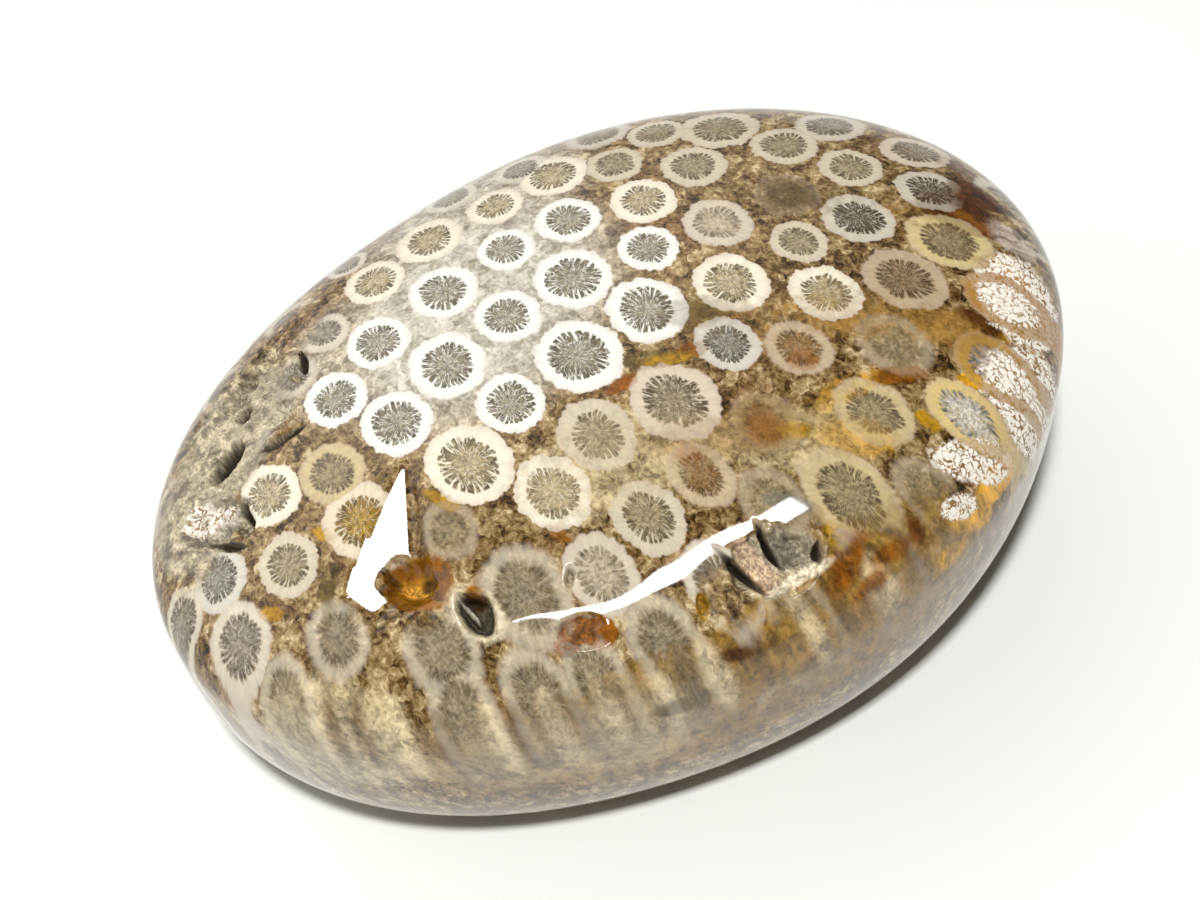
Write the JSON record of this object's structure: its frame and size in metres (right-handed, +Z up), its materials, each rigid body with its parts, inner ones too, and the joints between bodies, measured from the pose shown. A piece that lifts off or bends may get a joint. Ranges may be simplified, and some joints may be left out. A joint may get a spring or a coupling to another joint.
{
  "type": "fossil coral head",
  "caption": "Polished fossil coral head: an oval, domed, agatised stone patterned with round coral cups, with small natural hollows in its crown and a flat base to rest on.",
  "frame": {"origin": "middle of the bounding box's underside, on the plane of the flat base", "axes": "+Z up out of the domed crown, +X along the stone's long axis, away from the end with the small holes and the broken patch"},
  "size_m": [0.0842, 0.0551, 0.033],
  "materials": {
    "coral_stone": "polished, with rough natural hollows"
  },
  "bodies": {
    "root": {"coral_head": "coral_stone"}
  },
  "joints": []
}
